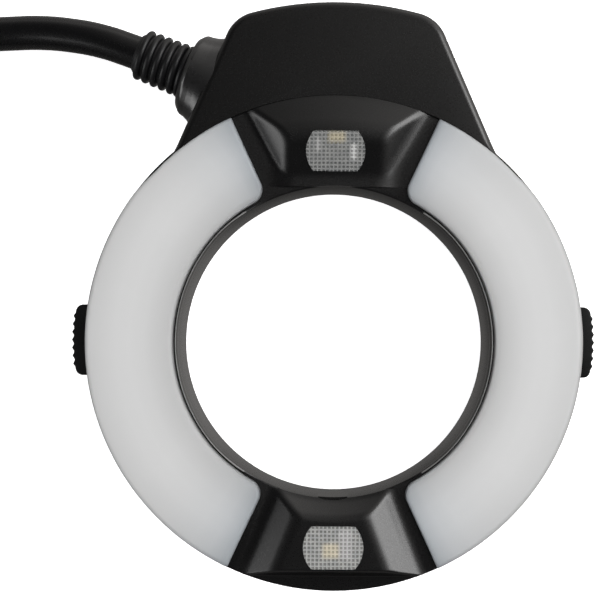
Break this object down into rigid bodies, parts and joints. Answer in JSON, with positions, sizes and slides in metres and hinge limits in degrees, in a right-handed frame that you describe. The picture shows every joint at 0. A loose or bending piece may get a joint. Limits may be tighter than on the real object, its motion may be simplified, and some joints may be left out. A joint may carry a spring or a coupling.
{
  "type": "macro ring flash",
  "caption": "Ring-shaped macro flash head with C-shaped diffusers, focusing lamps, a housing above the ring, sprung release buttons on its sides and a cord that ends in a round plug.",
  "frame": {"origin": "bore axis on the rear plane, which is the floor the head lies on", "axes": "+Z along the bore axis in the direction of the light, +Y towards the housing above the ring, +X to the right of a viewer who looks into the front"},
  "size_m": [0.239, 0.1278, 0.0209],
  "materials": {
    "black_shell": "fine matte grain",
    "rear_shell": "matte grain",
    "button": "satin",
    "chassis": "matte",
    "diffuser": "translucent satin",
    "lamp_window": "clear, prismatic grid",
    "tube_glass": "clear",
    "reflector": "bright",
    "boot": "matte",
    "board": "satin",
    "led_board": "satin",
    "led": "glossy",
    "transformer": "satin",
    "capacitor": "glossy",
    "header": "matte",
    "wire": "satin",
    "steel": "brushed",
    "screw": "blackened",
    "cord_rubber": "satin",
    "tie": "woven",
    "plug_plastic": "satin",
    "plug_metal": "polished",
    "contact": "polished"
  },
  "bodies": {
    "head": {"rear_cover": "rear_shell", "rear_casing": "rear_shell", "chassis": "chassis", "front_frame": "black_shell", "housing_cover": "black_shell", "left_diffuser": "diffuser", "right_diffuser": "diffuser", "upper_lamp_window": "lamp_window", "lower_lamp_window": "lamp_window", "upper_led_board": "led_board", "lower_led_board": "led_board", "upper_focus_led": "led", "lower_focus_led": "led", "left_reflector": "reflector", "right_reflector": "reflector", "left_flash_tube": "tube_glass", "right_flash_tube": "tube_glass", "tube_end_boots": "boot", "main_board": "board", "trigger_transformer": "transformer", "trigger_capacitor": "capacitor", "wire_header": "header", "lead_wires": "wire", "board_screws": "screw", "chassis_screws": "screw", "rear_screws": "screw", "strain_relief": "cord_rubber", "cable_clamp": "steel", "left_return_spring": "steel", "right_return_spring": "steel", "cable_lead": "cord_rubber", "cable_coil": "cord_rubber", "cable_tail": "cord_rubber", "cable_tie": "tie", "plug_boot": "cord_rubber", "plug_body": "plug_plastic", "plug_shell": "plug_metal", "plug_insert": "plug_plastic", "plug_pins": "contact"},
    "left_latch": {"left_release_button": "button", "left_release_yoke": "steel"},
    "right_latch": {"right_release_button": "button", "right_release_yoke": "steel"}
  },
  "joints": [
    {"name": "left_release", "type": "slide", "parent": "head", "child": "left_latch", "axis": [1, 0, 0], "range_m": [0, 0.0025], "stiffness_N_per_m": 300, "springref_m": -0.003, "deforming": ["left_return_spring"]},
    {"name": "right_release", "type": "slide", "parent": "head", "child": "right_latch", "axis": [-1, 0, 0], "range_m": [0, 0.0025], "stiffness_N_per_m": 300, "springref_m": -0.003, "deforming": ["right_return_spring"]}
  ]
}
